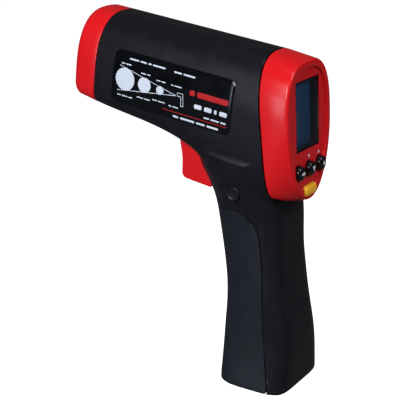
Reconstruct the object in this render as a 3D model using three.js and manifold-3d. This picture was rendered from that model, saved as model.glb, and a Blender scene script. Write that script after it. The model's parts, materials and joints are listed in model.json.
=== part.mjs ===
// Pistol-grip infrared thermometer, millimetres, +Z up, standing on the flat base of its handle.
// Row frame: origin at the centre of the handle's flat base, +X towards the display and the user,
// -X towards the target, -Y the user's left. The barrel is pitched nose up, so the body is drawn in a
// frame of its own, the gun frame, whose X runs along the barrel, and is turned into the row frame at
// the end.
import * as THREE from "three";
import { mergeVertices } from "three/addons/utils/BufferGeometryUtils.js";
import Module from "manifold-3d";

const wasm = await Module();
wasm.setup();

// ---- driving dimensions, in the gun frame ----
const DEG = Math.PI / 180;
const BARREL_PITCH = 7 * DEG; // nose up when the handle stands on its base
const BASE_CENTRE_X = 3.3; // the row frame's origin, at the centre of the base, seen from the gun frame
const WALL = 2.2; // moulded wall
const GAP = 0.3; // between neighbouring pieces
const HALF_SPLIT = 0.15; // half of the parting gap between the two housing shells

const BARREL_TOP = 177;
const BARREL_HALF_WIDTH = 23.3;
const BARREL_WIDEST_Z = 145; // height at which the section is widest
const BARREL_FRONT_X = -109; // seam of the front cap
// Underside of the barrel as (x, z): it drops towards the trigger and then into the handle.
const UNDERSIDE = [[-109, 128.5], [-50, 119.5], [-38, 114.5], [-20, 110], [-2, 107.5]];
const CAP_TIP_X = -123.5;

const SEAM_X = -7; // rear seam of the barrel, at SEAM_Z
const SEAM_Z = 136;
const SEAM_LEAN = -0.225; // change of x with z along that seam
const HEAD_BOTTOM_Z = 105.6; // lowest point of the barrel's rear end and of the bezel

const PANEL_TILT = 9.8 * DEG; // the display faces the user and slightly up
const PANEL_CENTRE = new THREE.Vector3(5.9, 0, 148.9); // centre of the display window
const PANEL_TOP = 27.4; // outline of the bezel's face, from that centre
const PANEL_BOTTOM = -43.5;
const PANEL_WIDEST = -3;
const PANEL_HALF_WIDTH = 23.3;
const RECESS_DEPTH = 1.0; // of the panel inside the bezel's rim
const WINDOW_WIDTH = 24.6;
const WINDOW_HEIGHT = 35.3;

const KEY_ROW_U = -27.3; // height of the three round keys, from the panel's centre
const KEY_PITCH = 11.2;
const KEY_RADIUS = 3.7;
const KEY_COLLAR = 4.2; // radius of the collar that keeps a key in
const KEY_PROUD = 2; // above the face
const YELLOW_KEY_U = -38.6;
const YELLOW_KEY_WIDTH = 13.4;
const YELLOW_KEY_HEIGHT = 6;
const YELLOW_SWITCH_U = -34; // its switch sits a little higher than the key
const SWITCH_SIZE = 4.6;
const BOARD_BOTTOM = -36.4; // lower edge of the display board
const KEY_CLEARANCE = 0.35;

const TRIGGER_HALF_WIDTH = 7.5;
const TRIGGER_PIVOT = { x: -54, z: 123.5 };
const TRIGGER_SLOT_CLEARANCE = 0.5;

const HINGE = { x: 13, z: 3.65 }; // battery door, at the rear lower edge of the door
const HINGE_PIN_RADIUS = 1;
const HINGE_KNUCKLE_RADIUS = 2;

const RELEASE = { x: -20.2, z: 104.3, radius: 3.9 }; // door release buttons, one on each side
const LENS = { z: 149, recessRadius: 12.4 };
const LASER = { z: 168, radius: 3 };
const BATTERY = { thick: 17.5, wide: 26.5, tall: 46.5, x: -4.6, z: 38, lean: -11 * DEG };

// Points (height, value) down the handle, read by interpolation.
const HANDLE_FRONT = [[-4, -16.9], [3, -18.2], [12, -19.8], [27, -22.1], [40, -23.8], [56, -27.4],
  [78, -33.8], [97, -40.6], [112, -49.3], [126, -55]];
const HANDLE_REAR = [[-4, 23.9], [6, 23.5], [12, 23], [26, 21.1], [53, 13.5], [75, 8], [97, 3.8], [103, 1.8],
  [112, -4], [126, -9]];
const HANDLE_HALF_WIDTH = [[-4, 24.6], [3, 23.4], [12, 21.5], [25, 19.8], [50, 18.5], [80, 17.7], [95, 18.4],
  [106, 20.8], [114, 22.6], [126, 23]];
// Exponent of the rounded front of the handle's section: squarer near the base.
const FRONT_SQUARENESS = [[0, 3.8], [30, 2.9], [56, 2.15], [126, 2.15]];
const REAR_SQUARENESS = 4.2;
// Top and rear edge of the battery door, in side view.
const DOOR_EDGE = [[-60, 84], [-40.5, 88.7], [-33, 89.9], [-25.5, 92.5], [-18, 94.2], [-13.5, 93.4],
  [-9.6, 91], [-6.4, 88.2], [-4.6, 85], [-1.2, 73], [5.8, 35.3], [10.1, 19.5], [15.2, 2], [17, -12],
  [-60, -12]];

// ---- materials ----
function material(name, color, roughness, metalness = 0) {
  const made = new THREE.MeshStandardMaterial({ color, roughness, metalness });
  made.name = name;
  return made;
}
const blackPlastic = () => material("housing_black", 0x202024, 0.5);
const doorPlastic = () => material("door_grey", 0x262a32, 0.6);
const redPlastic = () => material("accent_red", 0xd61c20, 0.38);
const keyRubber = () => material("key_black", 0x0c0c0f, 0.3);
const yellowPlastic = () => material("key_yellow", 0xeca620, 0.4);
const labelFilm = () => material("label_film", 0x08080a, 0.15);
const steel = () => material("steel", 0xb8bcc2, 0.3, 1);
const brass = () => material("brass", 0xc49a4a, 0.35, 1);
const boardGreen = () => material("board_green", 0x1c5a36, 0.55);
const clearPlastic = () => material("clear_window", 0xdfe8ee, 0.05);
const lensPlastic = () => material("lens_white", 0xe8e9e6, 0.35);
const lcdBlue = () => material("lcd_blue", 0x1c3455, 0.25);
const foamGrey = () => material("foam_grey", 0x5b5e63, 0.95);
const batterySkin = () => material("battery_skin", 0x3a4b63, 0.35);
const redWire = () => material("wire_red", 0xb52020, 0.5);
const blackWire = () => material("wire_black", 0x161616, 0.5);

// ---- solids from geometries, and cuts and joins of them ----
function solidOf(geometry) {
  const bare = geometry.clone();
  bare.deleteAttribute("normal");
  bare.deleteAttribute("uv");
  const merged = mergeVertices(bare, 1e-4);
  const vertProperties = new Float32Array(merged.attributes.position.array);
  const triVerts = new Uint32Array(merged.index.array);
  return new wasm.Manifold(new wasm.Mesh({ numProp: 3, vertProperties, triVerts }));
}

function geometryOf(solid) {
  const mesh = solid.getMesh();
  const geometry = new THREE.BufferGeometry();
  geometry.setAttribute("position", new THREE.BufferAttribute(mesh.vertProperties, 3));
  geometry.setIndex(new THREE.BufferAttribute(mesh.triVerts, 1));
  const flat = geometry.toNonIndexed();
  flat.computeVertexNormals();
  return flat;
}

function join(first, ...others) {
  return others.reduce((sum, next) => sum.add(next), first);
}

function cut(first, ...others) {
  return others.reduce((rest, next) => rest.subtract(next), first);
}

function box(x0, x1, y0, y1, z0, z1) {
  const geometry = new THREE.BoxGeometry(x1 - x0, y1 - y0, z1 - z0);
  return geometry.translate((x0 + x1) / 2, (y0 + y1) / 2, (z0 + z1) / 2);
}

function rodY(x, z, radius, y0, y1, sides = 16) {
  return new THREE.CylinderGeometry(radius, radius, y1 - y0, sides).translate(x, (y0 + y1) / 2, z);
}

function rodX(y, z, radius, x0, x1, sides = 24) {
  const geometry = new THREE.CylinderGeometry(radius, radius, x1 - x0, sides).rotateZ(Math.PI / 2);
  return geometry.translate((x0 + x1) / 2, y, z);
}

// A side-view outline, points (x, z), carried across from y0 to y1.
function plateY(points, y0, y1) {
  const shape = new THREE.Shape(points.map(([x, z]) => new THREE.Vector2(x, z)));
  const geometry = new THREE.ExtrudeGeometry(shape, { depth: y1 - y0, bevelEnabled: false });
  return geometry.rotateX(Math.PI / 2).translate(0, y1, 0);
}

// A closed skin through rings of points, with flat ends; every ring has the same number of points.
function loft(rings) {
  const count = rings[0].length;
  const points = rings.flat();
  const index = [];
  for (let k = 0; k + 1 < rings.length; k++) {
    for (let i = 0; i < count; i++) {
      const here = k * count + i;
      const next = k * count + ((i + 1) % count);
      index.push(here, next, next + count, here, next + count, here + count);
    }
  }
  const lastStart = (rings.length - 1) * count;
  [rings[0], rings[rings.length - 1]].forEach((ring, end) => {
    const middle = new THREE.Vector3();
    ring.forEach((point) => middle.addScaledVector(point, 1 / count));
    points.push(middle);
    const start = end ? lastStart : 0;
    for (let i = 0; i < count; i++) {
      const here = start + i;
      const next = start + ((i + 1) % count);
      if (end) index.push(here, next, points.length - 1);
      else index.push(next, here, points.length - 1);
    }
  });
  const geometry = new THREE.BufferGeometry().setFromPoints(points);
  geometry.setIndex(index);
  if (signedVolume(points, index) < 0) geometry.setIndex(index.reverse());
  return geometry;
}

function signedVolume(points, index) {
  let sum = 0;
  for (let i = 0; i < index.length; i += 3) {
    const [a, b, c] = [points[index[i]], points[index[i + 1]], points[index[i + 2]]];
    sum += a.dot(new THREE.Vector3().crossVectors(b, c));
  }
  return sum / 6;
}

function readTable(table, at) {
  const last = table.length - 1;
  if (at <= table[0][0]) return table[0][1];
  if (at >= table[last][0]) return table[last][1];
  const k = table.findIndex(([key]) => key >= at);
  const [k0, v0] = table[k - 1];
  const [k1, v1] = table[k];
  return v0 + ((v1 - v0) * (at - k0)) / (k1 - k0);
}

function power(value, exponent) {
  return Math.sign(value) * Math.abs(value) ** exponent;
}

// ---- the outer forms ----
const seamX = (z) => SEAM_X + SEAM_LEAN * (z - SEAM_Z);
const underside = (x) => readTable(UNDERSIDE, x);

// Barrel section as points (y, z): an arched top, nearly upright sides and rounded lower corners.
function barrelSection(bottom, inset = 0, sides = 28) {
  const halfWidth = BARREL_HALF_WIDTH - inset;
  const points = [];
  for (let i = 0; i < sides; i++) {
    const angle = (2 * Math.PI * i) / sides;
    const upper = Math.sin(angle) >= 0;
    const rise = upper ? BARREL_TOP - inset - BARREL_WIDEST_Z : BARREL_WIDEST_Z - bottom - inset;
    const exponent = upper ? 2 / 2.6 : 2 / 5;
    const y = halfWidth * power(Math.cos(angle), exponent);
    const z = BARREL_WIDEST_Z + rise * power(Math.sin(angle), exponent);
    points.push([y, z]);
  }
  return points;
}

// Barrel from the front seam to the leaning rear seam; the ends run on by the lengths given.
function barrelForm(inset = 0, frontRun = 0, rearRun = 0) {
  const stations = [BARREL_FRONT_X - frontRun, -50, -38, -21];
  const rings = stations.map((x) =>
    barrelSection(underside(x), inset).map(([y, z]) => new THREE.Vector3(x, y, z)),
  );
  const rear = barrelSection(HEAD_BOTTOM_Z, inset).map(
    ([y, z]) => new THREE.Vector3(seamX(z) + rearRun, y, z),
  );
  return loft([...rings, rear]);
}

// Handle section at one height: a rounded front, nearly flat sides and a squarer back.
function handleRing(z, inset, sides = 32) {
  const front = readTable(HANDLE_FRONT, z) + inset;
  const rear = readTable(HANDLE_REAR, z) - inset;
  const halfWidth = readTable(HANDLE_HALF_WIDTH, z) - inset;
  const middle = rear - halfWidth * 0.75;
  const squareness = readTable(FRONT_SQUARENESS, z);
  const ring = [];
  for (let i = 0; i < sides; i++) {
    const angle = (2 * Math.PI * i) / sides;
    const backward = Math.cos(angle) >= 0;
    const reach = backward ? rear - middle : middle - front;
    const exponent = 2 / (backward ? REAR_SQUARENESS : squareness);
    const x = middle + reach * power(Math.cos(angle), exponent);
    const y = halfWidth * power(Math.sin(angle), exponent);
    ring.push([x, y]);
  }
  return ring;
}

const baseHeight = (x) => x * Math.tan(BARREL_PITCH); // the base is level in the row frame

// Handle from its base, raised by lift, up into the barrel.
function handleForm(inset = 0, lift = 0, top = 126) {
  const heights = [0, 12, 26, 40, 56, 68, 80, 92, 104, 114, top];
  const rings = heights.map((height, k) =>
    handleRing(height, inset).map(([x, y]) => {
      const z = k === 0 ? baseHeight(x) + lift : height;
      return new THREE.Vector3(x, y, z);
    }),
  );
  return loft(rings);
}

// Bezel face outline in panel coordinates (across, up): an arch above, an egg below.
function panelOutline(inset = 0, sides = 32) {
  const halfWidth = PANEL_HALF_WIDTH - inset;
  const points = [];
  for (let i = 0; i < sides; i++) {
    const angle = (2 * Math.PI * i) / sides;
    const upper = Math.sin(angle) >= 0;
    const rise = upper ? PANEL_TOP - inset - PANEL_WIDEST : PANEL_WIDEST - PANEL_BOTTOM - inset;
    const exponent = upper ? 2 / 2.8 : 2 / 2;
    const across = halfWidth * power(Math.cos(angle), exponent);
    points.push([across, PANEL_WIDEST + rise * power(Math.sin(angle), exponent)]);
  }
  return points;
}

const panelUp = new THREE.Vector3(-Math.sin(PANEL_TILT), 0, Math.cos(PANEL_TILT));
const panelOut = new THREE.Vector3(Math.cos(PANEL_TILT), 0, Math.sin(PANEL_TILT));
const panelAcross = new THREE.Vector3(0, 1, 0);
const panelFrame = new THREE.Matrix4()
  .makeBasis(panelAcross, panelUp, panelOut)
  .setPosition(PANEL_CENTRE);

// Carries a geometry made in panel coordinates (across, up, out) into the gun frame.
function onPanel(geometry) {
  return geometry.applyMatrix4(panelFrame);
}

function panelPoint(across, up, out) {
  return new THREE.Vector3(across, up, out).applyMatrix4(panelFrame);
}

// Bezel from the rear seam to the face.
function bezelForm(inset = 0, seamRun = GAP, depth = 0) {
  const sides = 32;
  const seamRing = barrelSection(HEAD_BOTTOM_Z, inset, sides).map(
    ([y, z]) => new THREE.Vector3(seamX(z) + seamRun, y, z),
  );
  const edge = panelOutline(inset, sides).map(([a, u]) => panelPoint(a, u, depth - 2.4));
  const shoulder = panelOutline(inset + 0.7, sides).map(([a, u]) => panelPoint(a, u, depth - 0.8));
  const face = panelOutline(inset + 2.4, sides).map(([a, u]) => panelPoint(a, u, depth));
  const half = seamRing.map((point, i) => point.clone().lerp(edge[i], 0.5));
  // The skin bulges a little between the seam and the face, most of all underneath.
  for (const point of half) {
    point.y *= 1.015;
    if (point.z < BARREL_WIDEST_Z) point.z -= (BARREL_WIDEST_Z - point.z) * 0.025;
  }
  return loft([seamRing, half, edge, shoulder, face]);
}

// ---- housing ----
const outerBody = solidOf(barrelForm()).add(solidOf(handleForm()));
const innerBody = solidOf(barrelForm(WALL, 2, 4)).add(solidOf(handleForm(WALL, WALL, 122)));
const doorRegion = solidOf(plateY(DOOR_EDGE, -40, 40));
const doorRegionWide = solidOf(plateY(DOOR_EDGE.map(([x, z]) => [x + GAP, z + GAP]), -40, 40));

// Screw bosses across the housing: (x, z), and how far to the right of the split each screw's tip end lies.
const BOSSES = [[-98, 136, 0.6], [-30, 131, 0.6], [4.9, 62, -4.5], [13.4, 27, -3.5], [-34, 108, -3]];
const BOSS_RADIUS = 3.1;
const SCREW_RADIUS = 1.3;
const SCREW_LENGTH = 17;
const SCREW_HEAD_RADIUS = 2.5;

function bosses() {
  const rods = BOSSES.map(([x, z]) => solidOf(rodY(x, z, BOSS_RADIUS, -30, 30, 16)));
  return join(...rods).intersect(solidOf(barrelForm(0.4)).add(solidOf(handleForm(0.4, 0.4))));
}

// Wall behind the battery, inside the door's sides, and the rib that ties it to the back of the handle.
function batteryWall() {
  const lean = Math.tan(BATTERY.lean);
  const behind = BATTERY.x + BATTERY.thick / 2 + 1.2;
  const front = (z) => behind + lean * (z - BATTERY.z);
  const [low, high] = [7, 84];
  const [back, thick] = [front(low), 1.6];
  const outline = [[back, low], [back + thick, low], [front(high) + thick, high], [front(high), high]];
  const plate = plateY(outline, -30, 30);
  const rib = plateY([[front(low) + 1, low], [40, low], [40, high], [front(high) + 1, high]], -2, 2);
  const insideDoor = solidOf(handleForm(3.2, 3.2));
  return solidOf(plate).intersect(insideDoor).add(solidOf(rib).intersect(solidOf(handleForm(0.6, 0.6))));
}

// Knuckles that the housing wraps round the door's pin, and the foot that carries them.
const HOUSING_KNUCKLES = [[0.15, 8.4], [13.5, 16.6]];
const DOOR_KNUCKLE = [8.9, 13];

function housingKnuckles() {
  const made = [];
  for (const [y0, y1] of HOUSING_KNUCKLES) {
    for (const side of [-1, 1]) {
      const [low, high] = side > 0 ? [y0, y1] : [-y1, -y0];
      made.push(solidOf(rodY(HINGE.x, HINGE.z, HINGE_KNUCKLE_RADIUS, low, high, 16)));
      const [footTop, footBottom] = [[21, HINGE.z + 2.4], [21, baseHeight(21) + 0.5]];
      const foot = [[HINGE.x, HINGE.z - 1.6], footBottom, footTop, [HINGE.x, HINGE.z + 1.6]];
      made.push(solidOf(plateY(foot, low, high)));
    }
  }
  return join(...made);
}

function housingShell(side) {
  const shell = outerBody.subtract(innerBody);
  const hingeSweep = solidOf(rodY(HINGE.x, HINGE.z, HINGE_KNUCKLE_RADIUS + 0.5, -30, 30, 24));
  let body = cut(shell, doorRegionWide, hingeSweep);
  body = join(body, bosses(), batteryWall(), housingKnuckles(), capSpigot());
  const pinHole = solidOf(rodY(HINGE.x, HINGE.z, HINGE_PIN_RADIUS + GAP, -16, 16, 16));
  const screwHoles = BOSSES.map(([x, z, tip]) =>
    solidOf(rodY(x, z, SCREW_RADIUS + 0.25, tip - 1, tip + SCREW_LENGTH, 10)),
  );
  const headHoles = BOSSES.map(([x, z, tip]) =>
    solidOf(rodY(x, z, SCREW_HEAD_RADIUS + 0.3, tip + SCREW_LENGTH - 2.2, 30, 14)),
  );
  const buttonHole = solidOf(rodY(RELEASE.x, RELEASE.z, RELEASE.radius + KEY_CLEARANCE, -30, 30));
  const pivotHole = solidOf(rodY(TRIGGER_PIVOT.x, TRIGGER_PIVOT.z, 1.5 + GAP, -14.6, 14.6, 16));
  body = join(body, triggerPosts());
  body = cut(body, pinHole, ...screwHoles, ...headHoles, buttonHole, pivotHole, triggerSlot());
  const [low, high] = side > 0 ? [HALF_SPLIT, 60] : [-60, -HALF_SPLIT];
  const half = box(-200, 100, low, high, -60, 260);
  return body.intersect(solidOf(half));
}

// A lip that the front cap slides over.
function capSpigot() {
  const bottom = underside(BARREL_FRONT_X) + 1.4;
  const tube = (inset, from, to) => {
    const ring = (x) => barrelSection(bottom, inset).map(([y, z]) => new THREE.Vector3(x, y, z));
    return solidOf(loft([ring(from), ring(to)]));
  };
  const lip = tube(WALL + 0.4, BARREL_FRONT_X - 3, BARREL_FRONT_X + 4);
  const root = tube(WALL - 1.4, BARREL_FRONT_X + 1.5, BARREL_FRONT_X + 4);
  return lip.add(root).subtract(tube(WALL + 1.8, BARREL_FRONT_X - 5, BARREL_FRONT_X + 6));
}

// Two posts inside the barrel that carry the trigger's pin.
function triggerPosts() {
  const posts = [-1, 1].map((side) => {
    const inner = TRIGGER_HALF_WIDTH + 1.2;
    const [low, high] = side > 0 ? [inner, 24] : [-24, -inner];
    const { x, z } = TRIGGER_PIVOT;
    return solidOf(box(x - 3, x + 3, low, high, z - 8, z + 3));
  });
  return join(...posts).intersect(solidOf(barrelForm(0.5)));
}

// ---- trigger ----
// Side view of the trigger's finger piece and the arm up to its pivot.
const TRIGGER_OUTLINE = [[-63.6, 121], [-62.2, 115.5], [-60.6, 110], [-59.9, 105], [-59.6, 101.2],
  [-58.6, 98.9], [-56.4, 98.1], [-41.4, 97.6], [-40.2, 98.8], [-41.2, 106], [-43.8, 113], [-47, 119],
  [-50.5, 126.5], [-54, 128], [-57.5, 126.5], [-59, 121]];

function triggerSolid() {
  const blade = solidOf(plateY(TRIGGER_OUTLINE, -TRIGGER_HALF_WIDTH, TRIGGER_HALF_WIDTH));
  const chamfers = [-1, 1].map((side) => {
    const geometry = box(-3, 3, -3, 3, -40, 40).rotateZ(45 * DEG).rotateY(-14 * DEG);
    return solidOf(geometry.translate(-61.6, side * (TRIGGER_HALF_WIDTH + 1.6), 106));
  });
  const pivot = solidOf(rodY(TRIGGER_PIVOT.x, TRIGGER_PIVOT.z, 1.5 + GAP, -20, 20, 16));
  const springSeat = solidOf(rodX(0, 108, 2.6, -50.5, -30, 16));
  return cut(blade, ...chamfers, pivot, springSeat);
}

// The way through the barrel's underside and the neck's front wall.
function triggerSlot() {
  const halfWidth = TRIGGER_HALF_WIDTH + TRIGGER_SLOT_CLEARANCE;
  const outline = [[-66.5, 122.5], [-66.5, 95], [-39, 95], [-36, 96.6], [-36.6, 108], [-40, 122.5],
    [-44, 127], [-60, 127]];
  return solidOf(plateY(outline, -halfWidth, halfWidth));
}

// ---- battery door ----
function batteryDoor() {
  const wall = 2.4;
  const shell = solidOf(handleForm()).subtract(solidOf(handleForm(wall, wall)));
  let door = shell.intersect(doorRegion);
  const behindPin = solidOf(box(HINGE.x - 0.2, 30, -40, 40, -20, HINGE.z + 0.6));
  const besidePin = HOUSING_KNUCKLES.flatMap(([y0, y1]) =>
    [-1, 1].map((side) => {
      const [low, high] = side > 0 ? [y0 - 0.5, y1 + GAP] : [-y1 - GAP, -y0 + 0.5];
      return solidOf(rodY(HINGE.x, HINGE.z, HINGE_KNUCKLE_RADIUS + 0.5, low, high, 24));
    }),
  );
  door = cut(door, behindPin, ...besidePin);
  const ears = [-1, 1].map((side) => {
    const [low, high] = side > 0 ? DOOR_KNUCKLE : [-DOOR_KNUCKLE[1], -DOOR_KNUCKLE[0]];
    const ear = solidOf(rodY(HINGE.x, HINGE.z, HINGE_KNUCKLE_RADIUS, low, high, 16));
    return ear.add(solidOf(box(HINGE.x - 6, HINGE.x, low, high, HINGE.z - 1.6, HINGE.z + 1.6)));
  });
  const tongues = [-1, 1].map((side) => {
    const [low, high, wall] = side > 0 ? [11.4, 13.4, 16.4] : [-13.4, -11.4, -16.4];
    const root = box(-18.5, -14.5, Math.min(low, wall), Math.max(high, wall), 84, 91);
    return solidOf(box(-18.5, -14.5, low, high, 84, 95)).add(solidOf(root));
  });
  const pinHole = solidOf(rodY(HINGE.x, HINGE.z, HINGE_PIN_RADIUS + GAP, -16, 16, 16));
  return cut(join(door, ...ears, ...tongues), pinHole);
}

// ---- front cap and optics ----
function frontCap() {
  const bottom = underside(BARREL_FRONT_X);
  const ring = (x, inset, rise = 0) =>
    barrelSection(bottom + rise, inset).map(([y, z]) => new THREE.Vector3(x, y, z));
  const outer = solidOf(loft([
    ring(BARREL_FRONT_X - GAP, 0),
    ring(CAP_TIP_X + 4.5, 0, 1.4),
    ring(CAP_TIP_X + 1.6, 0.9, 2.4),
    ring(CAP_TIP_X + 0.4, 2.2, 2.8),
    ring(CAP_TIP_X, 3.6, 3.2),
  ]));
  const inner = solidOf(loft([ring(BARREL_FRONT_X + 5, WALL), ring(CAP_TIP_X + WALL + 0.4, WALL, 3.2)]));
  const lensHole = solidOf(rodX(0, LENS.z, LENS.recessRadius + GAP, CAP_TIP_X - 5, CAP_TIP_X + 8, 32));
  const laserHole = solidOf(rodX(0, LASER.z, LASER.radius - 0.5, CAP_TIP_X - 5, CAP_TIP_X + 8, 20));
  return cut(outer, inner, lensHole, laserHole);
}

// A round piece about the optical axis from profile points (radius, distance behind the cap's tip).
function opticPiece(profile, sides = 24) {
  const points = profile.map(([radius, along]) => new THREE.Vector2(radius, along));
  const geometry = new THREE.LatheGeometry(points, sides);
  return geometry.rotateZ(-Math.PI / 2).translate(CAP_TIP_X, 0, LENS.z);
}

const lensCone = () => opticPiece([[8.6, 9], [11.2, 1.2], [12.2, 1.2], [12.2, 3.2], [14.5, 3.2], [14.5, 5],
  [11, 13.4], [8.6, 13.4], [8.6, 9]]);
const irLens = () => opticPiece([[0, 9.9], [5, 10.2], [8.2, 11], [8.2, 12.4], [0, 12.4], [0, 9.9]]);
const lensRing = () => opticPiece([[6.8, 12.8], [8.2, 12.8], [8.2, 13.8], [10.6, 13.8], [10.6, 15.4],
  [6.8, 15.4], [6.8, 12.8]]);
const sensorTube = () => opticPiece([[6.2, 15.8], [10.6, 15.8], [10.6, 18], [7.6, 19], [7.6, 36], [5, 36],
  [5, 34], [6.2, 34], [6.2, 15.8]]);
const sensorCan = () => opticPiece([[0, 29.6], [2, 29.6], [4.1, 29.6], [4.1, 33.4], [4.6, 33.4], [4.6, 37],
  [0, 37], [0, 29.6]], 16);

function laserModule() {
  const body = solidOf(rodX(0, LASER.z, LASER.radius, CAP_TIP_X + 3.4, CAP_TIP_X + 19, 20));
  const bore = solidOf(rodX(0, LASER.z, 1.2, CAP_TIP_X + 2, CAP_TIP_X + 8, 12));
  return cut(body, bore);
}

// ---- rear bezel and what it holds ----
function roundedRect(width, height, radius) {
  const [w, h] = [width / 2, height / 2];
  const shape = new THREE.Shape();
  shape.moveTo(-w + radius, -h);
  shape.lineTo(w - radius, -h).absarc(w - radius, -h + radius, radius, -Math.PI / 2, 0, false);
  shape.lineTo(w, h - radius).absarc(w - radius, h - radius, radius, 0, Math.PI / 2, false);
  shape.lineTo(-w + radius, h).absarc(-w + radius, h - radius, radius, Math.PI / 2, Math.PI, false);
  shape.lineTo(-w, -h + radius).absarc(-w + radius, -h + radius, radius, Math.PI, 1.5 * Math.PI, false);
  return shape;
}

// A rounded plate in panel coordinates, centred at (across, up), between two heights along the way out.
function panelPlate(width, height, radius, across, up, out0, out1, curveSegments = 4) {
  const options = { depth: out1 - out0, bevelEnabled: false, curveSegments };
  return new THREE.ExtrudeGeometry(roundedRect(width, height, radius), options).translate(across, up, out0);
}

function panelRod(radius, across, up, out0, out1, sides = 16) {
  const geometry = new THREE.CylinderGeometry(radius, radius, out1 - out0, sides).rotateX(Math.PI / 2);
  return geometry.translate(across, up, (out0 + out1) / 2);
}

const BEZEL_SCREWS = [[-16.4, 8], [16.4, 8]]; // in panel coordinates (across, up)

function rearBezel() {
  const recessOutline = panelOutline(4.6, 32).map(([a, u]) => new THREE.Vector2(a, u));
  const recess = new THREE.ExtrudeGeometry(new THREE.Shape(recessOutline), { depth: 6, bevelEnabled: false });
  const windowHole = panelPlate(WINDOW_WIDTH, WINDOW_HEIGHT, 0.8, 0, 0, -8, 4);
  const keyHoles = [-1, 0, 1].map((k) =>
    solidOf(onPanel(panelRod(KEY_RADIUS + KEY_CLEARANCE, k * KEY_PITCH, KEY_ROW_U, -9, 4))),
  );
  const collarRooms = [-1, 0, 1].map((k) =>
    solidOf(onPanel(panelRod(KEY_COLLAR + 0.4, k * KEY_PITCH, KEY_ROW_U, -9, -3.3))),
  );
  const [roomWidth, roomHeight] = [YELLOW_KEY_WIDTH + 1.8, YELLOW_KEY_HEIGHT + 1.6];
  const yellowRoom = panelPlate(roomWidth, roomHeight, 3.4, 0, YELLOW_KEY_U + 0.5, -9, -3.5, 3);
  const holeWidth = YELLOW_KEY_WIDTH + 2 * KEY_CLEARANCE;
  const holeHeight = YELLOW_KEY_HEIGHT + 2 * KEY_CLEARANCE;
  const yellowHole = panelPlate(holeWidth, holeHeight, 3.2, 0, YELLOW_KEY_U, -9, 4, 3);
  const shell = solidOf(bezelForm()).subtract(solidOf(bezelForm(WALL, -1, -RECESS_DEPTH - WALL)));
  const posts = BEZEL_SCREWS.map(([a, u]) => solidOf(onPanel(panelRod(2.4, a, u, -9.9, -2, 12))));
  const bores = BEZEL_SCREWS.map(([a, u]) => solidOf(onPanel(panelRod(1, a, u, -11, -4.4, 10))));
  return cut(
    join(cut(shell, solidOf(onPanel(recess.translate(0, 0, -RECESS_DEPTH)))), ...posts),
    solidOf(onPanel(windowHole)), ...keyHoles, ...collarRooms, solidOf(onPanel(yellowHole)),
    solidOf(onPanel(yellowRoom)), ...bores,
  );
}

// Black frame that lines the window and holds the clear sheet above and the display below.
function lcdFrame() {
  const lining = panelPlate(WINDOW_WIDTH - 2 * GAP, WINDOW_HEIGHT - 2 * GAP, 0.6, 0, 0, -6.2, -1.3, 2);
  const flange = panelPlate(27.4, 38.8, 1.2, 0, 0, -9.6, -4.1, 2);
  const opening = panelPlate(WINDOW_WIDTH - 2.4, WINDOW_HEIGHT - 2.4, 0.5, 0, 0, -12, 2, 2);
  const step = panelPlate(WINDOW_WIDTH - 1.4, WINDOW_HEIGHT - 1.4, 0.5, 0, 0, -2.3, 2, 2);
  const pocket = panelPlate(25.6, 36.8, 0.6, 0, 0, -12, -5.2, 2);
  return cut(solidOf(lining).add(solidOf(flange)), solidOf(opening), solidOf(step), solidOf(pocket));
}

const displayWindow = () =>
  panelPlate(WINDOW_WIDTH - 1.4 - 2 * GAP, WINDOW_HEIGHT - 1.4 - 2 * GAP, 0.4, 0, 0, -2.0, -1.5, 2);
const lcdPanel = () => panelPlate(25, 36.2, 0.4, 0, 0, -7.6, -5.5, 2);
const backlight = () => panelPlate(24.6, 35.8, 0.4, 0, 0, -9.4, -7.9, 2);

function displayBoard() {
  const outline = panelOutline(4.6, 24).map(([a, u]) => new THREE.Vector2(a, Math.max(u, BOARD_BOTTOM)));
  const board = new THREE.ExtrudeGeometry(new THREE.Shape(outline), { depth: 1.4, bevelEnabled: false });
  const holes = BEZEL_SCREWS.map(([a, u]) => solidOf(panelRod(1.4, a, u, -13, -9, 12)));
  return cut(solidOf(board.translate(0, 0, -11.8)), ...holes);
}

const keySwitch = () => panelPlate(SWITCH_SIZE, SWITCH_SIZE, 0.5, 0, 0, -10, -7.7, 2);

// Key cap about its own axis: a domed top, a stem in the hole and a flange under the wall.
function roundKey() {
  const profile = [[0, -6.1], [2, -6.1], [2, -4.8], [KEY_COLLAR, -4.8], [KEY_COLLAR, -3.6],
    [KEY_RADIUS, -3.6], [KEY_RADIUS, KEY_PROUD - 0.9], [KEY_RADIUS - 0.5, KEY_PROUD - 0.3],
    [KEY_RADIUS - 1.5, KEY_PROUD], [0, KEY_PROUD + 0.15]];
  const points = profile.map(([radius, out]) => new THREE.Vector2(radius, out));
  return new THREE.LatheGeometry(points, 16).rotateX(Math.PI / 2);
}

function yellowKey() {
  const stem = panelPlate(YELLOW_KEY_WIDTH, YELLOW_KEY_HEIGHT, 2.9, 0, 0, -4.8, 0, 3);
  const crown = panelPlate(YELLOW_KEY_WIDTH - 1.6, YELLOW_KEY_HEIGHT - 1.6, 2.1, 0, 0, -0.1, 0.8, 3);
  const flange = panelPlate(YELLOW_KEY_WIDTH + 1, YELLOW_KEY_HEIGHT + 0.6, 3, 0, 0.6, -4.8, -3.9, 3);
  const foot = panelRod(1.8, 0, 2.6, -6.1, -4.6, 10);
  return join(solidOf(stem), solidOf(crown), solidOf(flange), solidOf(foot));
}

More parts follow.
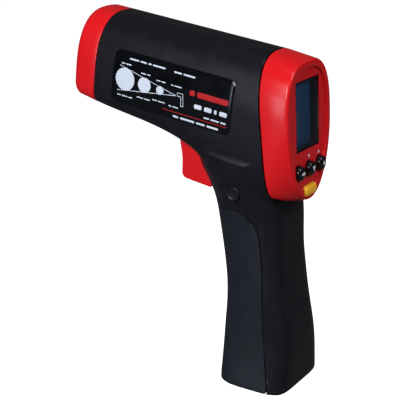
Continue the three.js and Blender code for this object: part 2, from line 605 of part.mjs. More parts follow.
// ---- release buttons and springs ----
// Button about its own axis, which points outwards: a flat cap, a stem and a collar inside the wall.
function releaseButton(side) {
  const wallAt = readTable(HANDLE_HALF_WIDTH, RELEASE.z);
  const profile = [[0, wallAt - 6.5], [4.9, wallAt - 6.5], [4.9, wallAt - 5.4],
    [RELEASE.radius, wallAt - 5.4], [RELEASE.radius, wallAt - 0.1], [RELEASE.radius - 0.6, wallAt + 0.5],
    [0, wallAt + 0.7]];
  const points = profile.map(([radius, along]) => new THREE.Vector2(radius, along));
  const geometry = new THREE.LatheGeometry(points, 20);
  return side > 0 ? geometry : geometry.rotateX(Math.PI);
}

// Compression spring along +Y from its foot at the origin.
function spring(radius, wire, length, turns) {
  class Helix extends THREE.Curve {
    getPoint(t, target = new THREE.Vector3()) {
      const angle = 2 * Math.PI * turns * t;
      return target.set(radius * Math.cos(angle), wire / 2 + (length - wire) * t, radius * Math.sin(angle));
    }
  }
  const section = new THREE.Shape().absarc(0, 0, wire / 2, 0, 2 * Math.PI, false);
  const options = { extrudePath: new Helix(), steps: turns * 8, curveSegments: 2, bevelEnabled: false };
  return new THREE.ExtrudeGeometry(section, options);
}

// ---- boards, battery and small parts ----
function screw(length) {
  const profile = [[0, 0], [SCREW_RADIUS, 0], [SCREW_RADIUS, length - 2], [SCREW_HEAD_RADIUS, length - 2],
    [SCREW_HEAD_RADIUS, length - 0.6], [1.9, length], [0.7, length], [0.7, length - 0.8], [0, length - 0.8]];
  return new THREE.LatheGeometry(profile.map(([r, y]) => new THREE.Vector2(r, y)), 10);
}

function batteryBlock() {
  const { thick, wide, tall } = BATTERY;
  const options = { depth: tall, bevelEnabled: false, curveSegments: 3 };
  const body = new THREE.ExtrudeGeometry(roundedRect(thick, wide, 2), options);
  const studs = [-6.3, 6.3].map((y, k) => {
    const stud = new THREE.CylinderGeometry(2.6 + k, 2.6 + k, 3.4, 12 - 4 * k).rotateX(Math.PI / 2);
    return solidOf(stud.translate(0, y, tall + 1.2));
  });
  return join(solidOf(body), ...studs);
}

function batterySnap() {
  const options = { depth: 5, bevelEnabled: false, curveSegments: 3 };
  const plate = new THREE.ExtrudeGeometry(roundedRect(11, 25, 2), options);
  const pockets = [-6.3, 6.3].map((y) => {
    const pocket = new THREE.CylinderGeometry(4.1, 4.1, 4, 16).rotateX(Math.PI / 2);
    return solidOf(pocket.translate(0, y, 1.4));
  });
  return cut(solidOf(plate), ...pockets);
}

function lead(points) {
  const path = new THREE.CatmullRomCurve3(points.map(([x, y, z]) => new THREE.Vector3(x, y, z)));
  const section = new THREE.Shape().absarc(0, 0, 0.7, 0, 2 * Math.PI, false);
  const options = { extrudePath: path, steps: 16, curveSegments: 2, bevelEnabled: false };
  return new THREE.ExtrudeGeometry(section, options);
}

// Small screw through the display board into a post of the bezel, head towards the front.
function boardScrew() {
  const profile = [[0, -1.4], [1.9, -1.4], [1.9, -0.1], [0.8, -0.1], [0.8, 6], [0, 6]];
  return new THREE.LatheGeometry(profile.map(([r, y]) => new THREE.Vector2(r, y)), 12).rotateX(Math.PI / 2);
}

// Flat cable between the two boards.
function ribbonCable() {
  const over = [[-21.4, 150], [-17, 152.4], [-13, 152.4], [-9.4, 150.4]];
  const under = over.map(([x, z]) => [x, z - 0.5]).reverse();
  return plateY([...over, ...under], -6, 6);
}

const mainBoard = () => box(-84, -22, -0.8, 0.8, 136, 166);

// Route of a battery lead from the snap up to the main board, on the right side.
const LEAD_ROUTE = [[-12.4, 4, 68.4], [-13.5, 5, 80], [-17, 5, 92], [-25, 5, 108], [-27.5, 5, 118],
  [-36.4, 4.6, 126], [-38, 3.6, 133], [-38, 2.2, 140]];

// Label on the barrel's side, a thin film that follows the side's curve.
function sideLabel(side) {
  const outside = solidOf(barrelForm(-0.25));
  const under = solidOf(barrelForm(-0.05));
  const outline = roundedRect(72.6, 28, 3.4);
  const plate = new THREE.ExtrudeGeometry(outline, { depth: 30, bevelEnabled: false, curveSegments: 5 });
  plate.rotateX(Math.PI / 2).translate(-61.1, side > 0 ? 40 : -10, 148.5);
  return outside.subtract(under).intersect(solidOf(plate));
}

// ---- assembly ----
const thermometer = new THREE.Group();
thermometer.name = "infrared_thermometer";
const gun = new THREE.Group();
gun.rotation.y = BARREL_PITCH;
gun.position.x = -BASE_CENTRE_X;
thermometer.add(gun);
const panel = new THREE.Group();
panel.position.copy(PANEL_CENTRE);
panel.quaternion.setFromRotationMatrix(panelFrame);
gun.add(panel);
const batteryBay = new THREE.Group();
batteryBay.position.set(BATTERY.x, 0, BATTERY.z);
batteryBay.rotation.y = BATTERY.lean;
gun.add(batteryBay);

function place(parent, name, shape, surface, position = [0, 0, 0], turn = [0, 0, 0]) {
  const geometry = shape.isBufferGeometry ? shape : geometryOf(shape);
  const mesh = new THREE.Mesh(geometry, surface);
  mesh.name = name;
  mesh.position.set(...position);
  mesh.rotation.set(...turn);
  parent.add(mesh);
}

const sideName = (side) => (side > 0 ? "right" : "left");

for (const side of [-1, 1]) {
  const name = sideName(side);
  const [at, foot] = [[RELEASE.x, 0, RELEASE.z], [RELEASE.x, side * 6.4, RELEASE.z]];
  const outwards = side > 0 ? [0, 0, 0] : [Math.PI, 0, 0];
  place(gun, `housing_${name}`, housingShell(side), blackPlastic());
  place(gun, `label_${name}`, sideLabel(side), labelFilm());
  place(gun, `release_button_${name}`, releaseButton(side), blackPlastic(), at);
  place(gun, `release_spring_${name}`, spring(3, 0.6, 7.4, 5), steel(), foot, outwards);
}
place(gun, "front_cap", frontCap(), redPlastic());
place(gun, "lens_cone", lensCone(), blackPlastic());
place(gun, "ir_lens", irLens(), lensPlastic());
place(gun, "lens_ring", lensRing(), blackPlastic());
place(gun, "sensor_tube", sensorTube(), brass());
place(gun, "sensor_can", sensorCan(), steel());
place(gun, "laser_module", laserModule(), brass());
place(gun, "main_board", mainBoard(), boardGreen());
place(gun, "buzzer", rodY(-52, 158, 6, 1.2, 6.4, 24), blackPlastic());
place(gun, "rear_bezel", rearBezel(), redPlastic());
place(panel, "lcd_frame", lcdFrame(), blackPlastic());
place(panel, "display_window", displayWindow(), clearPlastic());
place(panel, "lcd_panel", lcdPanel(), lcdBlue());
place(panel, "backlight", backlight(), lensPlastic());
place(panel, "display_board", displayBoard(), boardGreen());
["left", "middle", "right"].forEach((name, k) => {
  const across = (k - 1) * KEY_PITCH;
  place(panel, `key_${name}`, roundKey(), keyRubber(), [across, KEY_ROW_U, 0]);
  place(panel, `key_switch_${name}`, keySwitch(), blackPlastic(), [across, KEY_ROW_U, 0]);
});
place(panel, "key_yellow", yellowKey(), yellowPlastic(), [0, YELLOW_KEY_U, 0]);
place(panel, "key_switch_yellow", keySwitch(), blackPlastic(), [0, YELLOW_SWITCH_U, 0]);
["left", "right"].forEach((name, k) => {
  const [across, up] = BEZEL_SCREWS[k];
  place(panel, `board_screw_${name}`, boardScrew(), steel(), [across, up, -12.1]);
});
place(gun, "trigger", triggerSolid(), redPlastic());
place(gun, "trigger_pin", rodY(TRIGGER_PIVOT.x, TRIGGER_PIVOT.z, 1.5, -14, 14, 16), steel());
place(gun, "trigger_spring", spring(1.9, 0.5, 12.6, 6), steel(), [-37.6, 0, 108], [0, 0, Math.PI / 2]);
place(gun, "trigger_switch", box(-42.6, -32.6, -3.2, 3.2, 116, 122.6), blackPlastic());
place(gun, "battery_door", batteryDoor(), doorPlastic());
place(gun, "door_hinge_pin", rodY(HINGE.x, HINGE.z, HINGE_PIN_RADIUS, -15.6, 15.6, 16), steel());
place(batteryBay, "battery_9v", batteryBlock(), batterySkin(), [0, 0, -BATTERY.tall / 2]);
place(batteryBay, "battery_snap", batterySnap(), blackPlastic(), [0, 0, BATTERY.tall / 2 + 0.3]);
place(batteryBay, "door_pad", box(-12.6, -9.7, -7, 7, -14, 14), foamGrey());
place(gun, "battery_lead_red", lead(LEAD_ROUTE.map(([x, y, z]) => [x, -y, z])), redWire());
place(gun, "battery_lead_black", lead(LEAD_ROUTE), blackWire());
place(gun, "ribbon_cable", ribbonCable(), lensPlastic());
BOSSES.forEach(([x, z, tip], k) => {
  place(gun, `housing_screw_${k + 1}`, screw(SCREW_LENGTH), steel(), [x, tip, z]);
});

export default thermometer;
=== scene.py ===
"""Looks of the infrared thermometer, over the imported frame.

Shapes are worked out in millimetres in the gun frame, whose X runs along the barrel, and are carried
into the frame's metres at the end, where the barrel is pitched nose up and the base is level.
"""

import json
import math

import bmesh
import bpy
import numpy as np
import openvdb
from mathutils import Matrix, Vector


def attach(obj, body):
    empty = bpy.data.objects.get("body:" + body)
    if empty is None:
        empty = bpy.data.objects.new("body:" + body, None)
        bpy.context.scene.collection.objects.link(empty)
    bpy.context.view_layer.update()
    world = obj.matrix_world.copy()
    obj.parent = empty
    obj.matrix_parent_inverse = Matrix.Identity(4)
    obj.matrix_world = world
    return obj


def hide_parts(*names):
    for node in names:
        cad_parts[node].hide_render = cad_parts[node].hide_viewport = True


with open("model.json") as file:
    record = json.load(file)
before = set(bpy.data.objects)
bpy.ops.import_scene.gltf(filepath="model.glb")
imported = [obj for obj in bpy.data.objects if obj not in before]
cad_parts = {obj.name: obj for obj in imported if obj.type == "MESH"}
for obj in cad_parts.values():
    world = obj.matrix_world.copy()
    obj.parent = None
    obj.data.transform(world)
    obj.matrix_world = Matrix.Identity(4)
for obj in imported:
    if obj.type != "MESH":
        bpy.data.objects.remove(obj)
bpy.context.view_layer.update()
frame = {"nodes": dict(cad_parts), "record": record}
nodes = frame["nodes"]

# ---- driving dimensions, in millimetres, in the gun frame ----
PITCH = math.radians(7)
BASE_CENTRE_X = 3.3
WALL = 2.2
GAP = 0.3
SEAM_GAP = 0.5  # of the seams that show
HALF_SPLIT = 0.15
SKIN = 1.2  # depth of the smooth skin laid over the CAD housing

BARREL_TOP = 177
BARREL_HALF_WIDTH = 23.3
BARREL_WIDEST_Z = 145
BARREL_FRONT_X = -109
CAP_TIP_X = -123.5
BARREL_UPPER_SQUARENESS, BARREL_LOWER_SQUARENESS = 2.6, 5.0  # exponents of the section's two halves
UNDERSIDE = [[-130, 131.7], [-109, 128.5], [-50, 119.5], [-38, 114.5], [-20, 110], [0, 105.6],
             [20, 105.6]]
SEAM_X, SEAM_Z, SEAM_LEAN = -7, 136, -0.225
HEAD_BOTTOM_Z = 105.6

PANEL_TILT = math.radians(9.8)
PANEL_CENTRE = Vector((5.9, 0, 148.9))
PANEL_TOP, PANEL_BOTTOM, PANEL_WIDEST, PANEL_HALF_WIDTH = 27.4, -43.5, -3, 23.3
RECESS_DEPTH = 1.0
RIM_ROUNDING = 1.4
WINDOW_WIDTH, WINDOW_HEIGHT = 24.6, 35.3
KEY_ROW_U, KEY_PITCH, KEY_RADIUS, KEY_PROUD = -27.3, 11.2, 3.7, 2
YELLOW_KEY_U, YELLOW_KEY_WIDTH, YELLOW_KEY_HEIGHT = -38.6, 13.4, 6
KEY_CLEARANCE = 0.35

TRIGGER_HALF_WIDTH = 7.5
TRIGGER_PIVOT = (-54, 123.5)
RELEASE_X, RELEASE_Z, RELEASE_RADIUS = -20.2, 104.3, 3.9
LENS_Z, LENS_RECESS_RADIUS = 149, 12.4
LASER_Z, LASER_RADIUS = 168, 3
LABEL_X, LABEL_Z, LABEL_WIDTH, LABEL_HEIGHT = -61.1, 148.5, 72.6, 28
BOSSES = [[-98, 136, 0.6], [-30, 131, 0.6], [4.9, 62, -4.5], [13.4, 27, -3.5], [-34, 108, -3]]
SCREW_LENGTH, SCREW_RADIUS, SCREW_HEAD_RADIUS = 17, 1.3, 2.5

# Points (height, value) up the handle, read by interpolation.
HANDLE_FRONT = [[-4, -16.9], [3, -18.2], [12, -19.8], [27, -22.1], [40, -23.8], [56, -27.4], [78, -33.8],
                [97, -40.6], [112, -49.3], [126, -55]]
HANDLE_REAR = [[-4, 23.9], [6, 23.5], [12, 23], [26, 21.1], [53, 13.5], [75, 8], [97, 3.8], [103, 1.8],
               [112, -4], [126, -9]]
HANDLE_HALF_WIDTH = [[-4, 24.6], [3, 23.4], [12, 21.5], [25, 19.8], [50, 18.5], [80, 17.7], [95, 18.4],
                     [106, 20.8], [114, 22.6], [126, 23]]
FRONT_SQUARENESS = [[0, 3.8], [30, 2.9], [56, 2.15], [126, 2.15]]
REAR_SQUARENESS = 5.0
# Outlines in side view, points (x, z).
DOOR_EDGE = [[-60, 84], [-40.5, 88.7], [-33, 89.9], [-25.5, 92.5], [-18, 94.2], [-13.5, 93.4], [-9.6, 91],
             [-6.4, 88.2], [-4.6, 85], [-1.2, 73], [5.8, 35.3], [10.1, 19.5], [15.2, 2], [17, -12]]
TRIGGER_OUTLINE = [[-63.6, 121], [-62.2, 115.5], [-60.6, 110], [-59.9, 105], [-59.6, 101.2], [-58.6, 98.9],
                   [-56.4, 98.1], [-41.4, 97.6], [-40.2, 98.8], [-41.2, 106], [-43.8, 113], [-47, 119],
                   [-50.5, 126.5], [-54, 128], [-57.5, 126.5], [-59, 121]]
TRIGGER_SLOT = [[-66.5, 122.5], [-66.5, 95], [-39, 95], [-36, 96.6], [-36.6, 108], [-40, 122.5],
                [-44, 127], [-60, 127]]

MM = 0.001
TO_ROW = (
    Matrix.Translation((-BASE_CENTRE_X * MM, 0, 0)) @ Matrix.Rotation(PITCH, 4, "Y") @ Matrix.Scale(MM, 4)
)
ON_PANEL = Matrix.Translation(PANEL_CENTRE) @ Matrix(
    ((0, -math.sin(PANEL_TILT), math.cos(PANEL_TILT), 0), (1, 0, 0, 0),
     (0, math.cos(PANEL_TILT), math.sin(PANEL_TILT), 0), (0, 0, 0, 1))
)


# ---- curves and tables ----
def smooth_table(rows):
    """A function through the rows (key, value) with continuous slope that doesn't overshoot."""
    keys, values = np.array(rows, float).T
    steps = np.diff(keys)
    slopes = np.diff(values) / steps
    inner = (slopes[:-1] * steps[1:] + slopes[1:] * steps[:-1]) / (steps[:-1] + steps[1:])
    same_way = slopes[:-1] * slopes[1:] > 0
    limit = 3 * np.minimum(np.abs(slopes[:-1]), np.abs(slopes[1:]))
    inner = np.where(same_way, np.clip(inner, -limit, limit), 0)
    tangents = np.concatenate([[slopes[0]], inner, [slopes[-1]]])

    def read(at):
        at = np.clip(at, keys[0], keys[-1])
        k = np.clip(np.searchsorted(keys, at) - 1, 0, len(steps) - 1)
        t = (at - keys[k]) / steps[k]
        rise = values[k + 1] - values[k]
        a = steps[k] * tangents[k] - rise
        b = rise - steps[k] * tangents[k + 1]
        return values[k] + rise * t + t * (1 - t) * (a * (1 - t) + b * t)

    return read


def smooth_line(points, closed=False, per_span=6):
    """Points along a smooth curve through the given ones, with tangents scaled by the chords."""
    p = np.array(points, float)
    count = len(p)
    spans = count if closed else count - 1
    at = lambda k: p[k % count] if closed else p[min(max(k, 0), count - 1)]
    made = []
    for k in range(spans):
        a, b, c, d = at(k - 1), at(k), at(k + 1), at(k + 2)
        chord = np.linalg.norm(c - b)
        before, after = np.linalg.norm(b - a), np.linalg.norm(d - c)
        start = (c - a) / max(chord + before, 1e-6) * chord
        end = (d - b) / max(chord + after, 1e-6) * chord
        for t in np.arange(per_span) / per_span:
            made.append(
                b * (2 * t**3 - 3 * t**2 + 1) + start * (t**3 - 2 * t**2 + t)
                + c * (3 * t**2 - 2 * t**3) + end * (t**3 - t**2)
            )
    if not closed:
        made.append(p[-1])
    return np.array(made)


def power(value, exponent):
    return np.sign(value) * np.abs(value) ** exponent


underside = smooth_table(UNDERSIDE)
front_of = smooth_table(HANDLE_FRONT)
rear_of = smooth_table(HANDLE_REAR)
half_width_of = smooth_table(HANDLE_HALF_WIDTH)
squareness_of = smooth_table(FRONT_SQUARENESS)
seam_x = lambda z: SEAM_X + SEAM_LEAN * (z - SEAM_Z)


# ---- the outer form as a field: negative inside, and about a distance in millimetres ----
def superellipse_gap(u, v, reach_u, reach_v, n):
    rho = ((np.abs(u) / reach_u) ** n + (np.abs(v) / reach_v) ** n) ** (1 / n)
    return np.hypot(u, v) * (1 - 1 / np.maximum(rho, 1e-6))


def soft_min(a, b, radius):
    blend = np.maximum(radius - np.abs(a - b), 0) / radius
    return np.minimum(a, b) - blend**2 * radius / 4


def soft_max(a, b, radius):
    return -soft_min(-a, -b, radius)


def barrel_gap(x, y, z):
    above = z >= BARREL_WIDEST_Z
    rise = np.where(above, BARREL_TOP - BARREL_WIDEST_Z, BARREL_WIDEST_Z - underside(x))
    n = np.where(above, BARREL_UPPER_SQUARENESS, BARREL_LOWER_SQUARENESS)
    return superellipse_gap(y, z - BARREL_WIDEST_Z, BARREL_HALF_WIDTH, rise, n)


CREASE_AHEAD = 7.5  # of the handle's rear: where its side turns towards the back
CREASE_TURN = math.radians(24)
CREASE_ROUNDING, BASE_ROUNDING, NECK_BLEND = 1.1, 1.6, 4.0
HANDLE_TOP = 121  # inside the barrel


def handle_gap(x, y, z):
    rear, half = rear_of(z), half_width_of(z)
    middle = rear - half * 0.75
    along = x - middle
    backward = along >= 0
    reach = np.where(backward, rear - middle, middle - front_of(z))
    n = np.where(backward, REAR_SQUARENESS, squareness_of(z))
    section = superellipse_gap(along, y, reach, half, n)
    turn = (x - rear + CREASE_AHEAD) * math.sin(CREASE_TURN) + (np.abs(y) - half) * math.cos(CREASE_TURN)
    section = soft_max(section, turn, CREASE_ROUNDING)
    base = x * math.sin(PITCH) - z * math.cos(PITCH)
    return np.maximum(soft_max(section, base, BASE_ROUNDING), z - HANDLE_TOP)


def outer_gap(x, y, z):
    return soft_min(barrel_gap(x, y, z), handle_gap(x, y, z), NECK_BLEND)


def field_mesh(name, field, low, high, step):
    """A closed mesh of the field's zero surface, its points moved onto that surface."""
    axes = [np.arange(a, b + step, step) for a, b in zip(low, high)]
    values = field(*np.meshgrid(*axes, indexing="ij")).astype(np.float32)
    far = 5.0
    grid = openvdb.FloatGrid(far)
    grid.copyFromArray(np.clip(values, -far, far))
    points, quads = grid.convertToQuads(0.0)
    points = points.astype(float) * step + np.array(low)
    nudge = 0.02
    for _ in range(3):
        here = field(*points.T)
        slope = np.stack([
            (field(*(points + nudge * axis).T) - field(*(points - nudge * axis).T)) / (2 * nudge)
            for axis in np.eye(3)
        ], 1)
        move = (here / np.maximum((slope**2).sum(1), 0.05))[:, None] * slope
        points -= np.clip(move, -step / 2, step / 2)
    mesh = bpy.data.meshes.new(name)
    mesh.from_pydata(points.tolist(), [], quads.tolist())
    return put(name, outward(mesh))


# ---- meshes ----
def put(name, mesh):
    made = bpy.data.objects.new(name, mesh)
    bpy.context.scene.collection.objects.link(made)
    return made


def outward(mesh):
    """Turns a closed mesh's faces outwards."""
    bm = bmesh.new()
    bm.from_mesh(mesh)
    if bm.calc_volume(signed=True) < 0:
        bmesh.ops.reverse_faces(bm, faces=bm.faces)
    bm.to_mesh(mesh)
    bm.free()
    return mesh


def loft(name, rings):
    """A closed skin through rings of points, with flat ends."""
    rings = np.array(rings, float)
    count, sides = rings.shape[:2]
    faces = []
    for k in range(count - 1):
        for i in range(sides):
            j = (i + 1) % sides
            faces.append((k * sides + i, k * sides + j, (k + 1) * sides + j, (k + 1) * sides + i))
    faces.append(tuple(range(sides))[::-1])
    faces.append(tuple((count - 1) * sides + i for i in range(sides)))
    mesh = bpy.data.meshes.new(name)
    mesh.from_pydata(rings.reshape(-1, 3).tolist(), [], faces)
    return put(name, outward(mesh))


def prism(name, outline, y0, y1):
    """A side-view outline, points (x, z), carried across from y0 to y1."""
    return loft(name, [[(x, y, z) for x, z in outline] for y in (y0, y1)])


def rod(name, axis, centre, radius, start, end, sides=48):
    """A round rod along X or Y; centre gives the other two coordinates, with z last."""
    turns = np.linspace(0, 2 * math.pi, sides, endpoint=False)
    rings = []
    for along in (start, end):
        ring = []
        for t in turns:
            u, z = centre[0] + radius * math.cos(t), centre[1] + radius * math.sin(t)
            ring.append((along, u, z) if axis == "X" else (u, along, z))
        rings.append(ring)
    return loft(name, rings)


def lathe(name, profile, sides=64):
    """A round piece about local Z from profile points (radius, height); radius 0 closes an end."""
    turns = np.linspace(0, 2 * math.pi, sides, endpoint=False)
    bm = bmesh.new()
    rings = []
    for radius, height in profile:
        if radius < 1e-6:
            rings.append([bm.verts.new((0, 0, height))])
        else:
            rings.append([bm.verts.new((radius * math.cos(t), radius * math.sin(t), height)) for t in turns])
    closed = profile[0][0] > 1e-6 and profile[-1][0] > 1e-6
    pairs = list(zip(rings, rings[1:])) + ([(rings[-1], rings[0])] if closed else [])
    for a, b in pairs:
        for i in range(sides):
            j = (i + 1) % sides
            corners = [a[i % len(a)], a[j % len(a)], b[j % len(b)], b[i % len(b)]]
            unique = list(dict.fromkeys(corners))
            if len(unique) > 2:
                bm.faces.new(unique)
    mesh = bpy.data.meshes.new(name)
    bm.to_mesh(mesh)
    bm.free()
    return put(name, outward(mesh))


def place(obj, matrix):
    obj.data.transform(matrix)
    return obj


def boolean(target, tool, operation, keep=False):
    change = target.modifiers.new("change", "BOOLEAN")
    change.operation = operation
    change.solver = "MANIFOLD"
    change.object = tool
    bake(target)
    if not keep:
        bpy.data.objects.remove(tool)
    return target


def bake(obj):
    """Makes an object's modifiers part of its mesh."""
    graph = bpy.context.evaluated_depsgraph_get()
    mesh = bpy.data.meshes.new_from_object(obj.evaluated_get(graph))
    obj.modifiers.clear()
    obj.data = mesh
    return obj


def copy_of(node, name):
    """A copy of a CAD node's mesh, in the gun frame's millimetres."""
    mesh = nodes[node].data.copy()
    mesh.materials.clear()
    mesh.transform(TO_ROW.inverted())
    bm = bmesh.new()
    bm.from_mesh(mesh)
    bmesh.ops.remove_doubles(bm, verts=bm.verts, dist=0.0005)
    bm.to_mesh(mesh)
    bm.free()
    return put(name, mesh)


def duplicate(obj, name):
    return put(name, obj.data.copy())


def mirror(obj):
    """Turns a left piece into a right one."""
    obj.data.transform(Matrix.Scale(-1, 4, (0, 1, 0)))
    obj.data.flip_normals()
    return obj


def soften(obj, width, segments=3, angle=30):
    """Rounds the sharp edges."""
    bm = bmesh.new()
    bm.from_mesh(obj.data)
    bmesh.ops.dissolve_limit(bm, angle_limit=math.radians(1), verts=bm.verts, edges=bm.edges)
    bm.to_mesh(obj.data)
    bm.free()
    round_off = obj.modifiers.new("round", "BEVEL")
    round_off.width = width
    round_off.segments = segments
    round_off.limit_method = "ANGLE"
    round_off.angle_limit = math.radians(angle)
    return bake(obj)


def finish_piece(obj, body, surface, replaced=(), sharp=32):
    """Carries a piece into the frame, shades it and fastens it to its body."""
    obj.data.transform(TO_ROW)
    obj.data.shade_smooth()
    obj.data.set_sharp_from_angle(angle=math.radians(sharp))
    obj.data.materials.clear()
    obj.data.materials.append(surface)
    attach(obj, body)
    if replaced:
        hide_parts(*replaced)
    return obj


# ---- materials ----
def shader(name, color, roughness, spread=0.06, shade=0.12, grain=0.0, grain_size=0.4, patch_size=9.0,
           metallic=0.0, specular=0.5, alpha=1.0):
    """A moulded or plated surface: its colour and gloss drift slowly, and a fine grain catches light.

    grain is the height of the fine texture in millimetres, grain_size and patch_size are in millimetres.
    """
    made = bpy.data.materials.new(name)
    made.use_nodes = True
    tree = made.node_tree
    surface = tree.nodes["Principled BSDF"]
    surface.inputs["Metallic"].default_value = metallic
    surface.inputs["Specular IOR Level"].default_value = specular
    surface.inputs["Alpha"].default_value = alpha
    place_in = tree.nodes.new("ShaderNodeTexCoord")
    patches = tree.nodes.new("ShaderNodeTexNoise")
    patches.inputs["Scale"].default_value = 1 / (patch_size * MM)
    patches.inputs["Detail"].default_value = 3
    tree.links.new(place_in.outputs["Object"], patches.inputs["Vector"])
    tint = tree.nodes.new("ShaderNodeValToRGB")
    tint.color_ramp.elements[0].position, tint.color_ramp.elements[1].position = 0.3, 0.7
    tint.color_ramp.elements[0].color = (*[c * (1 - shade) for c in color], 1)
    tint.color_ramp.elements[1].color = (*[min(c * (1 + shade), 1) for c in color], 1)
    tree.links.new(patches.outputs["Fac"], tint.inputs["Fac"])
    tree.links.new(tint.outputs["Color"], surface.inputs["Base Color"])
    gloss = tree.nodes.new("ShaderNodeMapRange")
    gloss.inputs["From Min"].default_value, gloss.inputs["From Max"].default_value = 0.3, 0.7
    gloss.inputs["To Min"].default_value = roughness - spread
    gloss.inputs["To Max"].default_value = roughness + spread
    tree.links.new(patches.outputs["Fac"], gloss.inputs["Value"])
    tree.links.new(gloss.outputs["Result"], surface.inputs["Roughness"])
    if grain:
        fine = tree.nodes.new("ShaderNodeTexNoise")
        fine.inputs["Scale"].default_value = 1 / (grain_size * MM)
        fine.inputs["Detail"].default_value = 2
        tree.links.new(place_in.outputs["Object"], fine.inputs["Vector"])
        bump = tree.nodes.new("ShaderNodeBump")
        bump.inputs["Strength"].default_value = 0.6
        bump.inputs["Distance"].default_value = grain * MM
        tree.links.new(fine.outputs["Fac"], bump.inputs["Height"])
        tree.links.new(bump.outputs["Normal"], surface.inputs["Normal"])
    return made


SURFACES = {
    "housing_black": shader("housing_black", (0.0058, 0.0055, 0.0085), 0.36, specular=0.2, spread=0.03,
                            grain=0.012, grain_size=0.35),
    "door_grey": shader("door_grey", (0.0095, 0.0108, 0.0165), 0.52, specular=0.2, spread=0.05,
                        grain=0.02, grain_size=0.3),
    "accent_red": shader("accent_red", (0.60, 0.0075, 0.011), 0.27, specular=0.28, spread=0.008,
                         shade=0.015, patch_size=14, grain=0.004, grain_size=0.5),
    "key_black": shader("key_black", (0.003, 0.003, 0.004), 0.22, spread=0.04, specular=0.35),
    "key_yellow": shader("key_yellow", (0.95, 0.47, 0.03), 0.34, specular=0.3, shade=0.05, grain=0.004),
    "label_film": shader("label_film", (0.0022, 0.0026, 0.0038), 0.14, specular=0.2, spread=0.03,
                         grain=0.002),
    "label_white": shader("label_white", (0.56, 0.62, 0.72), 0.4, specular=0.2, shade=0.04, grain=0.002),
    "label_red": shader("label_red", (0.40, 0.010, 0.013), 0.4, specular=0.2, shade=0.05, grain=0.002),
    "steel": shader("steel", (0.5, 0.51, 0.53), 0.3, metallic=1.0, grain=0.004, grain_size=0.2),
    "brass": shader("brass", (0.62, 0.43, 0.16), 0.32, metallic=1.0, grain=0.004, grain_size=0.2),
    "board_green": shader("board_green", (0.012, 0.12, 0.05), 0.4, patch_size=4, grain=0.01, grain_size=0.8),
    "clear_window": shader("clear_window", (0.03, 0.04, 0.05), 0.05, spread=0.02, shade=0.02, alpha=0.12),
    "lens_white": shader("lens_white", (0.8, 0.81, 0.79), 0.3, shade=0.03, grain=0.004),
    "lcd_blue": shader("lcd_blue", (0.016, 0.060, 0.160), 0.2, specular=0.35, spread=0.03, shade=0.1,
                       patch_size=20),
    "foam_grey": shader("foam_grey", (0.1, 0.11, 0.12), 0.95, spread=0.04, shade=0.3, patch_size=1.2,
                        grain=0.25, grain_size=0.9),
    "battery_skin": shader("battery_skin", (0.04, 0.07, 0.12), 0.3, metallic=0.4, grain=0.003),
    "wire_red": shader("wire_red", (0.45, 0.015, 0.015), 0.42, grain=0.006),
    "wire_black": shader("wire_black", (0.008, 0.008, 0.008), 0.42, grain=0.006),
}
slot_of = {part["node"]: part["material_slot"] for part in frame["record"]["subparts"]}
for node_name, node in nodes.items():
    node.data.materials.clear()
    node.data.materials.append(SURFACES[slot_of[node_name]])


def dress(obj, node, sharp=32):
    """Finishes a piece that stands for one CAD node, with its body and its material."""
    body = next(name for name, held in frame["record"]["behaviour"]["bodies"].items() if node in held)
    return finish_piece(obj, body, SURFACES[slot_of[node]], [node], sharp)


# ---- tools that cut the seams ----
def door_region(name, shift=0.0):
    edge = smooth_line(DOOR_EDGE, per_span=8)
    outline = [(x + shift, z + shift) for x, z in edge] + [(-60 + shift, -12 + shift)]
    return prism(name, outline, -40, 40)


def barrel_limits(name):
    """Everything between the front cap's seam and the leaning rear seam, and all below the barrel."""
    top, low, floor = 200, 104.0, -30
    outline = [(BARREL_FRONT_X, top), (BARREL_FRONT_X, floor), (60, floor), (60, low),
               (seam_x(low), low), (seam_x(top), top)]
    return prism(name, outline, -40, 40)


def trigger_slot(name):
    return prism(name, smooth_line(TRIGGER_SLOT, closed=True, per_span=1), -8, 8)


# ---- housing and battery door ----
FORM_FRONT_X, FORM_REAR_X = BARREL_FRONT_X - 4, 28
PAST_MIDDLE = 1.2


def bounded(field):
    """The left half of a field, with a little beyond the middle, closed at its ends."""
    def inside(x, y, z):
        ends = np.maximum(FORM_FRONT_X - x, x - FORM_REAR_X)
        return np.maximum(np.maximum(field(x, y, z), ends), y - PAST_MIDDLE)
    return inside


FORM_LOW, FORM_HIGH, FORM_STEP = (-115, -26.5, -4), (30, 2.6, 180), 0.7
form = field_mesh("form", bounded(outer_gap), FORM_LOW, FORM_HIGH, FORM_STEP)
core = field_mesh("core", bounded(lambda x, y, z: outer_gap(x, y, z) + SKIN), FORM_LOW, FORM_HIGH, FORM_STEP)
CORE_SHIFT = 0.9  # so that the core's cut end lies beyond the form's
core.data.transform(Matrix.Translation((0, CORE_SHIFT, 0)))
HINGE_X, HINGE_Z, HINGE_SWEEP = 13, 3.65, 2.55
HOUSING_KNUCKLES = [[0.15, 8.4], [13.5, 16.6]]
KNUCKLE_OVERLAP = 0.5  # of the door's cut, past each knuckle's inner end
HOUSING_CORNER = (HINGE_SWEEP, 0.3)  # radius about the pin, height above its axis
DOOR_CORNER = (1.9, 0.6)


def behind_pin(radius, top):
    """The corner behind and below the door's hinge pin, outside a radius about the pin."""
    side, far = HINGE_X - 0.2, 30
    corner = prism("corner", [(side, -20), (far, -20), (far, HINGE_Z + top), (side, HINGE_Z + top)], -40, 40)
    return boolean(corner, rod("round", "Y", (HINGE_X, HINGE_Z), radius, -41, 41), "DIFFERENCE")


